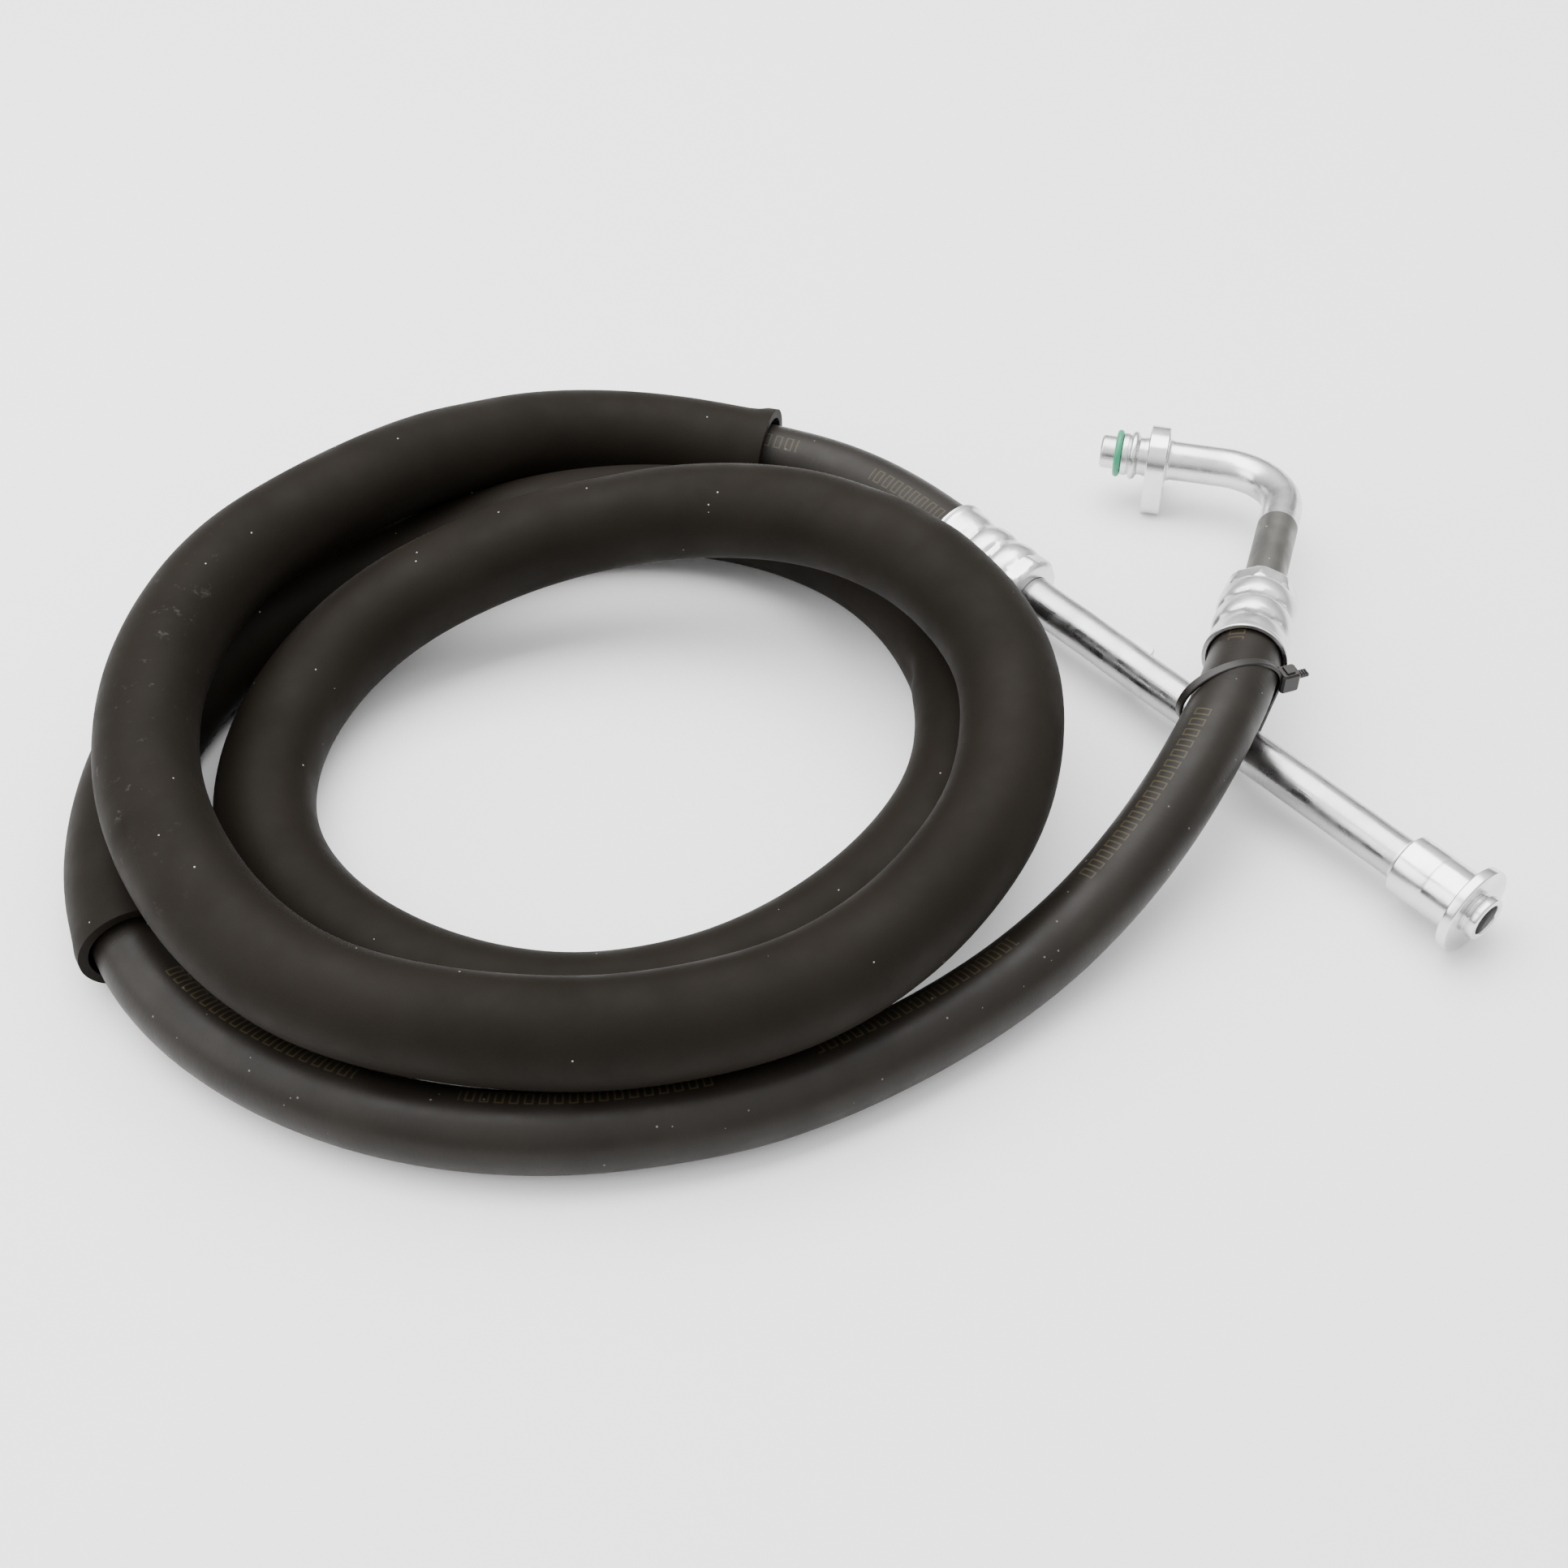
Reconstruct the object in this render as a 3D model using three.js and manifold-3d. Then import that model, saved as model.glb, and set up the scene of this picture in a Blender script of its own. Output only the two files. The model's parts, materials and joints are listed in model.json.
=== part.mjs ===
// Suction hose assembly of a vehicle air-conditioning circuit, lying on a table in loose turns.
// A reinforced rubber hose runs inside a long foam sleeve. A crimped ferrule holds an aluminium pipe
// in each end: a straight pipe with a turned connector, and an elbow pipe with a bolted flange block.
// Millimetres, +Z up. The origin is at table height under the middle of the assembly.

import * as THREE from 'three';
import { mergeVertices } from 'three/addons/utils/BufferGeometryUtils.js';
import Module from 'manifold-3d';

const manifold = await Module();
manifold.setup();

// ---- Driving dimensions ----
const GAP = 0.35; // clearance between pieces that touch on the real object
const TO_ORIGIN = new THREE.Vector3(1.72, 5.10, 0); // from the route's own frame to the object's

// Hose layers, from the outside in, as [outer radius, inner radius] of the section's corners
const HOSE_SIDES = 8;
const HOSE_STEPS = 64;
const HOSE_RADIUS = 13.4;
const COVER_INNER = 11.2;
const BRAID = [COVER_INNER - GAP, 10.25];
const INNER_TUBE = [BRAID[1] - GAP, 8.65];
const LINER = [INNER_TUBE[1] - GAP, 7.8];
const CRIMPED_RADIUS = 12.4; // the cover where the ferrule squeezes it

// Foam sleeve: a loose tube over the hose, from one hose step to another
const SLEEVE_SIDES = 10;
const SLEEVE_RADIUS = 18.2;
const SLEEVE_BORE = 14.6;
const SLEEVE_FIRST_STEP = 3;
const SLEEVE_LAST_STEP = 51;

// Ferrules, measured along the axis from the lip that the hose enters
const FERRULE_LENGTH = 45;
const FERRULE_LIP_RADIUS = 15.8;
const FERRULE_BAND_RADIUS = 15;
const FERRULE_GROOVE_RADIUS = 13.9;
const FERRULE_COLLAR_RADIUS = 14.3;
const FERRULE_GROOVES = [13.6, 26];
const FERRULE_COLLAR_START = 37.5;
const FERRULE_WALL_START = 41.5;
const HOSE_ENGAGEMENT = 40.5;

// Aluminium pipes
const PIPE_RADIUS = 8;
const PIPE_BORE = 6.2;
const NIPPLE_RADIUS = 6.85;
const NIPPLE_BORE = 5.6;
const NIPPLE_START = 8;
const NIPPLE_END = 41.2;
const BARB_RADIUS = 7.05;

// Straight end: lip of its ferrule, heading of the axis, and the connector's lengths and radii
const STRAIGHT_LIP = new THREE.Vector3(68, 107, 16.5);
const STRAIGHT_HEADING = THREE.MathUtils.degToRad(-49.5);
const CONNECTOR_START = 231.3;
const CONNECTOR_BODY = 26;
const CONNECTOR_BODY_RADIUS = 11.5;
const CONNECTOR_DISC = 4.1;
const CONNECTOR_DISC_RADIUS = 16.5;
const CONNECTOR_SPIGOT = 4.9;
const CONNECTOR_SPIGOT_RADIUS = 8.45;
const CONNECTOR_BORE = 5.9;
const SOCKET_DEPTH = 15;
const LUG_START = 88;
const LUG_SIZE = [12.5, 4.2, 4.5]; // along the pipe, outward, thickness

// Elbow end: lip of its ferrule, the corner where the two pipe axes meet, and the flange's heading
const ELBOW_LIP = new THREE.Vector3(168.8, 9.9, 40);
const ELBOW_CORNER = new THREE.Vector3(207.9, 139.6, 22.2);
const FLANGE_HEADING = THREE.MathUtils.degToRad(167.2);
const BEND_RADIUS = 26;
const BLOCK_START = 50.5; // along the flange axis from the corner
const BLOCK_THICKNESS = 8;
const BLOCK_HALF_WIDTH = 13;
const BLOCK_TOP = 13;
const BLOCK_BOTTOM = 22;
const BLOCK_CORNER = 6;
const BOLT_HOLE_RADIUS = 4.5;
const BOLT_HOLE_DROP = 14.4;
const SPIGOT_RADIUS = 6.8;
const SPIGOT_BORE = 5.2;
const BEAD_START = 4.6; // from the block's face
const BEAD_RADIUS = 9.9;
const TIP_DISTANCE = 78;
const O_RING_SECTION = 1.3;

// Cable tie: a loop round both the hose and the pipe where they cross. It stands upright across the
// two, so each of them is an ellipse in its plane.
const TIE_CENTRE = new THREE.Vector3(160, -8.8, 0);
const TIE_HEADING = THREE.MathUtils.degToRad(20);
const TIE_HOSE = [0.8, 40.6, 21, 13.95]; // centre across and up, half width, half height
const TIE_PIPE = [5.6, 16.5, 9.9, 8.4];
const TIE_THICKNESS = 1.2;
const TIE_WIDTH = 3.4;
const TIE_HEAD = [7.2, 8.4, 6.6]; // outward, up, through
const TIE_TAIL = [4.2, 1.3, 3.4];

// The hose's route between its two ferrules, in the order straight end, three turns, elbow end
const ROUTE = [
  [42, 134, 17], [18, 149, 18], [-12, 159, 19], [-44, 166, 21], [-77, 162, 27], [-109, 146, 37],
  [-138, 119, 49], [-163, 91, 56.5], [-186, 68, 57.5], [-205, 44, 57.5], [-217, 15, 57],
  [-222, -17, 57], [-220, -47, 57], [-213, -76, 56], [-199, -104, 53.5], [-180, -128, 49.5],
  [-154, -147, 45], [-123, -158, 43], [-91, -163, 42], [-58, -164, 42], [-26, -159, 42.5],
  [4, -149, 43.5], [32, -130, 45.5], [54, -106, 48.5], [71, -77, 52], [79, -45, 55], [79, -12, 57],
  [68, 19, 58], [47, 48, 58], [18, 69, 56.5], [-14, 79, 54], [-49, 82, 50], [-83, 78, 45],
  [-115, 68, 39], [-145, 52, 32.5], [-168, 31, 25], [-183, 1, 20], [-187, -34, 18.5],
  [-180, -66, 18.5], [-162, -93, 18.5], [-137, -114, 18.5], [-106, -129, 18.5],
  [-73, -135, 18.5], [-41, -131, 18.5], [-12, -120, 18.5], [17, -99, 18.5], [43, -70, 18.5],
  [61, -35, 18.5], [67, 2, 18.5], [62, 37, 18.5], [48, 68, 18.5], [27, 93, 18.5], [0, 111, 18.5],
  [-31, 121, 18.5], [-64, 123, 18.5], [-97, 117, 18.5], [-129, 103, 18.5], [-160, 85, 18.5],
  [-190, 65, 18.5], [-212, 41, 18.5], [-226, 13, 18.5], [-234, -20, 18.5], [-235, -54, 18.5],
  [-230, -85, 18.5], [-219, -111, 16], [-203, -131, 14], [-182, -149, 13.7], [-157, -164, 13.7],
  [-129, -175, 13.7], [-99, -181, 13.7], [-68, -182, 13.7], [-38, -178, 13.7], [-9, -171, 13.7],
  [20, -158, 13.7], [48, -141, 13.7], [74, -122, 15], [97, -102, 19], [117, -81, 25.5],
  [133, -61, 32.5], [146, -41, 38.5], [156.5, -21.5, 42],
];
const STRAIGHT_OUT = 15; // the route is straight this far out of each lip

// ---- Materials ----
function finish(color, roughness, metalness) {
  return new THREE.MeshStandardMaterial({ color, roughness, metalness });
}

// ---- Geometry helpers ----
function direction(heading) {
  return new THREE.Vector3(Math.cos(heading), Math.sin(heading), 0);
}

const STRAIGHT_AXIS = direction(STRAIGHT_HEADING);
const ELBOW_AXIS = ELBOW_CORNER.clone().sub(ELBOW_LIP).normalize();
const FLANGE_AXIS = direction(FLANGE_HEADING);

function along(start, axis, distance) {
  return start.clone().addScaledVector(axis, distance);
}

// A part of the route whose points fall on the same places as the whole route's points
class Stretch extends THREE.Curve {
  constructor(route, from, to) {
    super();
    this.route = route;
    this.from = from;
    this.to = to;
  }

  share(u) {
    return this.from + (this.to - this.from) * u;
  }

  getPoint(u) {
    return this.route.getPointAt(this.share(u));
  }

  getPointAt(u) {
    return this.getPoint(u);
  }

  getTangentAt(u) {
    return this.route.getTangentAt(this.share(u));
  }
}

function polygon(PathClass, radius, sides) {
  const outline = new PathClass();
  for (let i = 0; i < sides; i += 1) {
    const angle = ((i + 0.5) / sides) * 2 * Math.PI;
    const point = [radius * Math.cos(angle), radius * Math.sin(angle)];
    if (i === 0) outline.moveTo(...point);
    else outline.lineTo(...point);
  }
  outline.closePath();
  return outline;
}

function tube(path, steps, outer, inner, sides) {
  const section = polygon(THREE.Shape, outer, sides);
  section.holes.push(polygon(THREE.Path, inner, sides));
  return new THREE.ExtrudeGeometry(section, { steps, bevelEnabled: false, extrudePath: path });
}

// A turned ring or tube from a closed outline of [radius, distance along the axis]
function turned(outline, segments = 24) {
  const points = [...outline, outline[0]].map(([r, y]) => new THREE.Vector2(r, y));
  return new THREE.LatheGeometry(points, segments);
}

function placeAlong(mesh, start, axis) {
  mesh.position.copy(start);
  mesh.quaternion.setFromUnitVectors(new THREE.Vector3(0, 1, 0), axis);
  return mesh;
}

function movedAlong(geometry, start, axis) {
  const turn = new THREE.Quaternion().setFromUnitVectors(new THREE.Vector3(0, 1, 0), axis);
  return geometry.applyQuaternion(turn).translate(start.x, start.y, start.z);
}

function solid(geometry) {
  const bare = geometry.clone();
  bare.deleteAttribute('normal');
  bare.deleteAttribute('uv');
  const merged = mergeVertices(bare, 1e-4);
  const vertProperties = Float32Array.from(merged.attributes.position.array);
  const triVerts = Uint32Array.from(merged.index.array);
  return new manifold.Manifold(new manifold.Mesh({ numProp: 3, vertProperties, triVerts }));
}

function geometryOf(body) {
  const { vertProperties, triVerts } = body.getMesh();
  const geometry = new THREE.BufferGeometry();
  geometry.setAttribute('position', new THREE.BufferAttribute(vertProperties, 3));
  geometry.setIndex(new THREE.BufferAttribute(triVerts, 1));
  geometry.computeVertexNormals();
  return geometry;
}

function joined(...geometries) {
  return geometryOf(geometries.map(solid).reduce((body, piece) => body.add(piece)));
}

function cut(geometry, ...tools) {
  return geometryOf(tools.map(solid).reduce((body, tool) => body.subtract(tool), solid(geometry)));
}

// ---- The hose and its sleeve ----
function hoseRoute() {
  const point = ([x, y, z]) => new THREE.Vector3(x, y, z);
  const route = new THREE.CatmullRomCurve3([
    along(STRAIGHT_LIP, STRAIGHT_AXIS, HOSE_ENGAGEMENT),
    STRAIGHT_LIP,
    along(STRAIGHT_LIP, STRAIGHT_AXIS, -STRAIGHT_OUT),
    ...ROUTE.map(point),
    along(ELBOW_LIP, ELBOW_AXIS, -STRAIGHT_OUT),
    ELBOW_LIP,
    along(ELBOW_LIP, ELBOW_AXIS, HOSE_ENGAGEMENT),
  ], false, 'catmullrom', 0.5);
  route.arcLengthDivisions = 2000;
  return route;
}

const route = hoseRoute();

function hoseLayer([outer, inner]) {
  return tube(new Stretch(route, 0, 1), HOSE_STEPS, outer, inner, HOSE_SIDES);
}

function crimpCutter(lip, axis) {
  const reach = HOSE_ENGAGEMENT + 2;
  const outline = [[CRIMPED_RADIUS, 3.2], [20, 3.2], [20, reach], [CRIMPED_RADIUS, reach]];
  return movedAlong(turned(outline), lip, axis);
}

function hoseCover() {
  return cut(
    hoseLayer([HOSE_RADIUS, COVER_INNER]),
    crimpCutter(STRAIGHT_LIP, STRAIGHT_AXIS),
    crimpCutter(ELBOW_LIP, ELBOW_AXIS),
  );
}

function foamSleeve() {
  const steps = SLEEVE_LAST_STEP - SLEEVE_FIRST_STEP;
  const path = new Stretch(route, SLEEVE_FIRST_STEP / HOSE_STEPS, SLEEVE_LAST_STEP / HOSE_STEPS);
  return tube(path, steps, SLEEVE_RADIUS, SLEEVE_BORE, SLEEVE_SIDES);
}

// ---- Fittings ----
function ferrule() {
  const entry = HOSE_RADIUS + 0.55;
  const bore = CRIMPED_RADIUS + 0.45;
  const outline = [[FERRULE_LIP_RADIUS - 0.6, 0], [FERRULE_LIP_RADIUS, 0.3]];
  outline.push([FERRULE_LIP_RADIUS, 1.4]);
  outline.push([FERRULE_BAND_RADIUS, 2.4]);
  for (const groove of FERRULE_GROOVES) {
    outline.push([FERRULE_BAND_RADIUS, groove - 1.8], [FERRULE_GROOVE_RADIUS, groove - 0.9]);
    outline.push([FERRULE_GROOVE_RADIUS, groove + 0.9], [FERRULE_BAND_RADIUS, groove + 1.8]);
  }
  outline.push([FERRULE_BAND_RADIUS, FERRULE_COLLAR_START - 1]);
  outline.push([FERRULE_COLLAR_RADIUS, FERRULE_COLLAR_START]);
  outline.push([FERRULE_COLLAR_RADIUS, FERRULE_LENGTH - 1.5]);
  outline.push([FERRULE_COLLAR_RADIUS - 1.5, FERRULE_LENGTH]);
  outline.push([PIPE_RADIUS + GAP, FERRULE_LENGTH], [PIPE_RADIUS + GAP, FERRULE_WALL_START]);
  outline.push([bore, FERRULE_WALL_START], [bore, 5], [entry, 4]);
  return turned(outline);
}

// The end of a pipe inside the hose: a thin nipple with three barbs, up to the ferrule's end wall
function nippleOutline() {
  const outline = [[NIPPLE_BORE, NIPPLE_START], [NIPPLE_RADIUS - 0.4, NIPPLE_START]];
  for (const barb of [12, 20, 28]) {
    outline.push([NIPPLE_RADIUS - 0.3, barb], [BARB_RADIUS, barb + 2.5]);
    outline.push([NIPPLE_RADIUS - 0.3, barb + 3]);
  }
  outline.push([NIPPLE_RADIUS, NIPPLE_END], [PIPE_RADIUS, NIPPLE_END]);
  return outline;
}

function straightPipe() {
  const end = CONNECTOR_START + SOCKET_DEPTH - 0.5;
  return turned([
    ...nippleOutline(), [PIPE_RADIUS, end], [PIPE_BORE, end],
    [PIPE_BORE, NIPPLE_END + 1], [NIPPLE_BORE, NIPPLE_END],
  ]);
}

function endConnector() {
  const disc = CONNECTOR_BODY;
  const face = disc + CONNECTOR_DISC;
  const mouth = face + CONNECTOR_SPIGOT;
  return turned([
    [PIPE_RADIUS + GAP, 0], [CONNECTOR_BODY_RADIUS - 0.6, 0], [CONNECTOR_BODY_RADIUS, 0.6],
    [CONNECTOR_BODY_RADIUS, disc], [CONNECTOR_DISC_RADIUS - 0.5, disc],
    [CONNECTOR_DISC_RADIUS, disc + 0.5], [CONNECTOR_DISC_RADIUS, face - 0.5],
    [CONNECTOR_DISC_RADIUS - 0.5, face], [CONNECTOR_SPIGOT_RADIUS - 1, face],
    [CONNECTOR_SPIGOT_RADIUS - 1, face + 1.5], [CONNECTOR_SPIGOT_RADIUS, face + 1.9],
    [CONNECTOR_SPIGOT_RADIUS, mouth - 0.6], [CONNECTOR_SPIGOT_RADIUS - 0.6, mouth],
    [CONNECTOR_BORE, mouth], [CONNECTOR_BORE, SOCKET_DEPTH], [PIPE_RADIUS + GAP, SOCKET_DEPTH],
  ], 32);
}

// A cone of braze metal round a pipe, from its tip at 0 to its wide end
function brazeRing(width, length) {
  const bore = PIPE_RADIUS + GAP;
  return turned([[bore, 0], [bore + 0.3, 0], [bore + width, length - 0.3], [bore + width, length],
    [bore, length]]);
}

// A rounded lug that stands out sideways from the straight pipe
function locatingLug() {
  const [length, height, thickness] = LUG_SIZE;
  const outline = new THREE.Shape();
  outline.moveTo(-length / 2, 0);
  outline.lineTo(length / 2, 0);
  outline.lineTo(length / 2, height - 3);
  outline.absarc(length / 2 - 3, height - 3, 3, 0, Math.PI / 2, false);
  outline.lineTo(-length / 2, height);
  outline.closePath();
  const options = { depth: thickness, bevelEnabled: false, curveSegments: 5 };
  return new THREE.ExtrudeGeometry(outline, options).translate(0, 0, -thickness / 2);
}

function lugMesh() {
  const mesh = new THREE.Mesh(locatingLug(), finish(0xd4d5d6, 0.4, 0.9));
  const outward = new THREE.Vector3(-STRAIGHT_AXIS.y, STRAIGHT_AXIS.x, 0);
  const basis = new THREE.Matrix4().makeBasis(STRAIGHT_AXIS, outward, new THREE.Vector3(0, 0, 1));
  mesh.quaternion.setFromRotationMatrix(basis);
  mesh.position.copy(along(STRAIGHT_LIP, STRAIGHT_AXIS, LUG_START + LUG_SIZE[0] / 2));
  mesh.position.addScaledVector(outward, PIPE_RADIUS + GAP);
  return mesh;
}

// The elbow's axis: straight out of the ferrule, round the bend, straight to the flange
function elbowPath() {
  const turnAngle = ELBOW_AXIS.angleTo(FLANGE_AXIS);
  const tangentLength = BEND_RADIUS * Math.tan(turnAngle / 2);
  const start = along(ELBOW_LIP, ELBOW_AXIS, NIPPLE_END);
  const bendStart = along(ELBOW_CORNER, ELBOW_AXIS, -tangentLength);
  const bendEnd = along(ELBOW_CORNER, FLANGE_AXIS, tangentLength);
  const handle = (4 / 3) * Math.tan(turnAngle / 4) * BEND_RADIUS;
  const path = new THREE.CurvePath();
  path.add(new THREE.LineCurve3(start, bendStart));
  path.add(new THREE.CubicBezierCurve3(
    bendStart, along(bendStart, ELBOW_AXIS, handle),
    along(bendEnd, FLANGE_AXIS, -handle), bendEnd,
  ));
  path.add(new THREE.LineCurve3(bendEnd, along(ELBOW_CORNER, FLANGE_AXIS, BLOCK_START + 10)));
  return path;
}

function elbowNipple() {
  const outline = [...nippleOutline(), [PIPE_RADIUS, NIPPLE_END + 2], [NIPPLE_BORE, NIPPLE_END + 2]];
  return movedAlong(turned(outline), ELBOW_LIP, ELBOW_AXIS);
}

// The pipe's formed end beyond the flange block: bead, sealing shoulder and thin spigot
function elbowSpigot() {
  const bead = BLOCK_START + BLOCK_THICKNESS + BEAD_START;
  const shoulder = bead + 6;
  return movedAlong(turned([
    [SPIGOT_BORE, bead - 3], [PIPE_RADIUS - 0.4, bead - 3], [PIPE_RADIUS - 0.4, bead - 0.6],
    [BEAD_RADIUS - 0.5, bead], [BEAD_RADIUS, bead + 0.6], [BEAD_RADIUS, bead + 1.8],
    [BEAD_RADIUS - 0.5, bead + 2.6], [BEAD_RADIUS - 1.1, shoulder - 2.4],
    [BEAD_RADIUS - 1.1, shoulder], [SPIGOT_RADIUS, shoulder], [SPIGOT_RADIUS, TIP_DISTANCE - 0.8],
    [SPIGOT_RADIUS - 0.8, TIP_DISTANCE], [SPIGOT_BORE, TIP_DISTANCE],
  ]), ELBOW_CORNER, FLANGE_AXIS);
}

function elbowPipe() {
  return joined(tube(elbowPath(), 20, PIPE_RADIUS, PIPE_BORE, 16), elbowNipple(), elbowSpigot());
}

function circlePath(x, y, radius) {
  return new THREE.Path().absarc(x, y, radius, 0, 2 * Math.PI, true);
}

// The flange block stands upright, with the pipe's hole above the bolt hole
function flangeBlock() {
  const [w, t, b, c] = [BLOCK_HALF_WIDTH, BLOCK_TOP, -BLOCK_BOTTOM, BLOCK_CORNER];
  const outline = new THREE.Shape();
  outline.moveTo(-w, b + c);
  outline.absarc(-w + c, b + c, c, Math.PI, 1.5 * Math.PI, false);
  outline.absarc(w - c, b + c, c, -0.5 * Math.PI, 0, false);
  outline.absarc(w - 2 * c, t - 2 * c, 2 * c, 0, 0.5 * Math.PI, false);
  outline.absarc(-w + 2 * c, t - 2 * c, 2 * c, 0.5 * Math.PI, Math.PI, false);
  outline.closePath();
  outline.holes.push(circlePath(0, 0, PIPE_RADIUS + GAP));
  outline.holes.push(circlePath(0, -BOLT_HOLE_DROP, BOLT_HOLE_RADIUS));
  const options = { depth: BLOCK_THICKNESS, bevelEnabled: false, curveSegments: 12 };
  return new THREE.ExtrudeGeometry(outline, options);
}

function blockMesh() {
  const mesh = new THREE.Mesh(flangeBlock(), finish(0xcfd1d3, 0.35, 0.95));
  const up = new THREE.Vector3(0, 0, 1);
  const across = new THREE.Vector3().crossVectors(up, FLANGE_AXIS);
  mesh.quaternion.setFromRotationMatrix(new THREE.Matrix4().makeBasis(across, up, FLANGE_AXIS));
  mesh.position.copy(along(ELBOW_CORNER, FLANGE_AXIS, BLOCK_START));
  return mesh;
}

function oRingMesh() {
  const seat = BLOCK_START + BLOCK_THICKNESS + BEAD_START + 6;
  const centre = along(ELBOW_CORNER, FLANGE_AXIS, seat + GAP + O_RING_SECTION);
  const middle = SPIGOT_RADIUS + GAP + O_RING_SECTION;
  const geometry = new THREE.TorusGeometry(middle, O_RING_SECTION, 8, 24).rotateX(Math.PI / 2);
  return placeAlong(new THREE.Mesh(geometry, finish(0x1c8f63, 0.45, 0)), centre, FLANGE_AXIS);
}

// The outline of the loop: over the hose, down both sides, and under the pipe
function tieOutline(PathClass, thickness) {
  const [hoseX, hoseY, hoseA, hoseB] = TIE_HOSE;
  const [pipeX, pipeY, pipeA, pipeB] = TIE_PIPE;
  const turn = THREE.MathUtils.degToRad;
  const [hoseRx, hoseRy] = [hoseA + thickness, hoseB + thickness];
  const [pipeRx, pipeRy] = [pipeA + thickness, pipeB + thickness];
  const outline = new PathClass();
  outline.absellipse(hoseX, hoseY, hoseRx, hoseRy, turn(-10), turn(205), false);
  outline.absellipse(pipeX, pipeY, pipeRx, pipeRy, turn(211), turn(347), false);
  outline.closePath();
  return outline;
}

// Strap, head and cut tail in one moulding, in the plane of the loop
function cableTie() {
  const strap = tieOutline(THREE.Shape, TIE_THICKNESS);
  strap.holes.push(tieOutline(THREE.Path, 0));
  const options = { depth: TIE_WIDTH, bevelEnabled: false, curveSegments: 14 };
  const loop = new THREE.ExtrudeGeometry(strap, options).translate(0, 0, -TIE_WIDTH / 2);
  const side = TIE_HOSE[0] + TIE_HOSE[2] + TIE_THICKNESS / 2;
  const [outward, up, through] = TIE_HEAD;
  const head = new THREE.BoxGeometry(outward, up, through);
  head.translate(side + outward / 2, TIE_HOSE[1], 0);
  const tail = new THREE.BoxGeometry(TIE_TAIL[0] + 1, TIE_TAIL[1], TIE_TAIL[2]);
  tail.translate(side + outward + TIE_TAIL[0] / 2 - 0.5, TIE_HOSE[1] + 0.8, 0);
  return joined(loop, head, tail);
}

function tieMesh() {
  const mesh = new THREE.Mesh(cableTie(), finish(0x141210, 0.5, 0));
  const across = direction(TIE_HEADING);
  const up = new THREE.Vector3(0, 0, 1);
  const through = new THREE.Vector3().crossVectors(across, up);
  mesh.quaternion.setFromRotationMatrix(new THREE.Matrix4().makeBasis(across, up, through));
  mesh.position.copy(TIE_CENTRE);
  return mesh;
}

// ---- Assembly ----
const ALUMINIUM = [0xd2d4d6, 0.32, 0.95];
const assembly = new THREE.Group();
assembly.position.copy(TO_ORIGIN);

function add(name, mesh) {
  mesh.name = name;
  assembly.add(mesh);
}

function addSolid(name, geometry, [color, roughness, metalness]) {
  add(name, new THREE.Mesh(geometry, finish(color, roughness, metalness)));
}

function addTurned(name, geometry, start, axis, look) {
  addSolid(name, geometry, look);
  placeAlong(assembly.children.at(-1), start, axis);
}

addSolid('hose_cover', hoseCover(), [0x1b1815, 0.55, 0]);
addSolid('hose_braid', hoseLayer(BRAID), [0xc9c2ae, 0.8, 0]);
addSolid('hose_inner_tube', hoseLayer(INNER_TUBE), [0x201d1b, 0.6, 0]);
addSolid('hose_barrier_liner', hoseLayer(LINER), [0xd8d0b8, 0.4, 0]);
addSolid('foam_sleeve', foamSleeve(), [0x26201d, 0.9, 0]);

addTurned('straight_ferrule', ferrule(), STRAIGHT_LIP, STRAIGHT_AXIS, ALUMINIUM);
addTurned('straight_pipe', straightPipe(), STRAIGHT_LIP, STRAIGHT_AXIS, ALUMINIUM);
add('pipe_locating_lug', lugMesh());
addTurned('connector_braze_ring', brazeRing(1.3, 1.7),
  along(STRAIGHT_LIP, STRAIGHT_AXIS, CONNECTOR_START - 1.7 - GAP), STRAIGHT_AXIS, ALUMINIUM);
addTurned('end_connector', endConnector(),
  along(STRAIGHT_LIP, STRAIGHT_AXIS, CONNECTOR_START), STRAIGHT_AXIS, ALUMINIUM);

addTurned('elbow_ferrule', ferrule(), ELBOW_LIP, ELBOW_AXIS, ALUMINIUM);
addSolid('elbow_pipe', elbowPipe(), ALUMINIUM);
addTurned('flange_braze_ring', brazeRing(1.2, 1.6),
  along(ELBOW_CORNER, FLANGE_AXIS, BLOCK_START - 1.6 - GAP), FLANGE_AXIS, ALUMINIUM);
add('flange_block', blockMesh());
add('o_ring', oRingMesh());
add('cable_tie', tieMesh());

export default assembly;
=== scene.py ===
"""The looks of a refrigerant hose assembly: a reinforced rubber hose lying in loose turns inside a
foam sleeve, with a crimped aluminium pipe in each end.

Shapes are worked out in millimetres in the route's own frame, as in the part's source, and moved to
the object's frame in metres when their meshes are made."""

import json
import math

import bpy
import numpy as np
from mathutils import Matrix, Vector
from mathutils.geometry import tessellate_polygon

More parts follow.
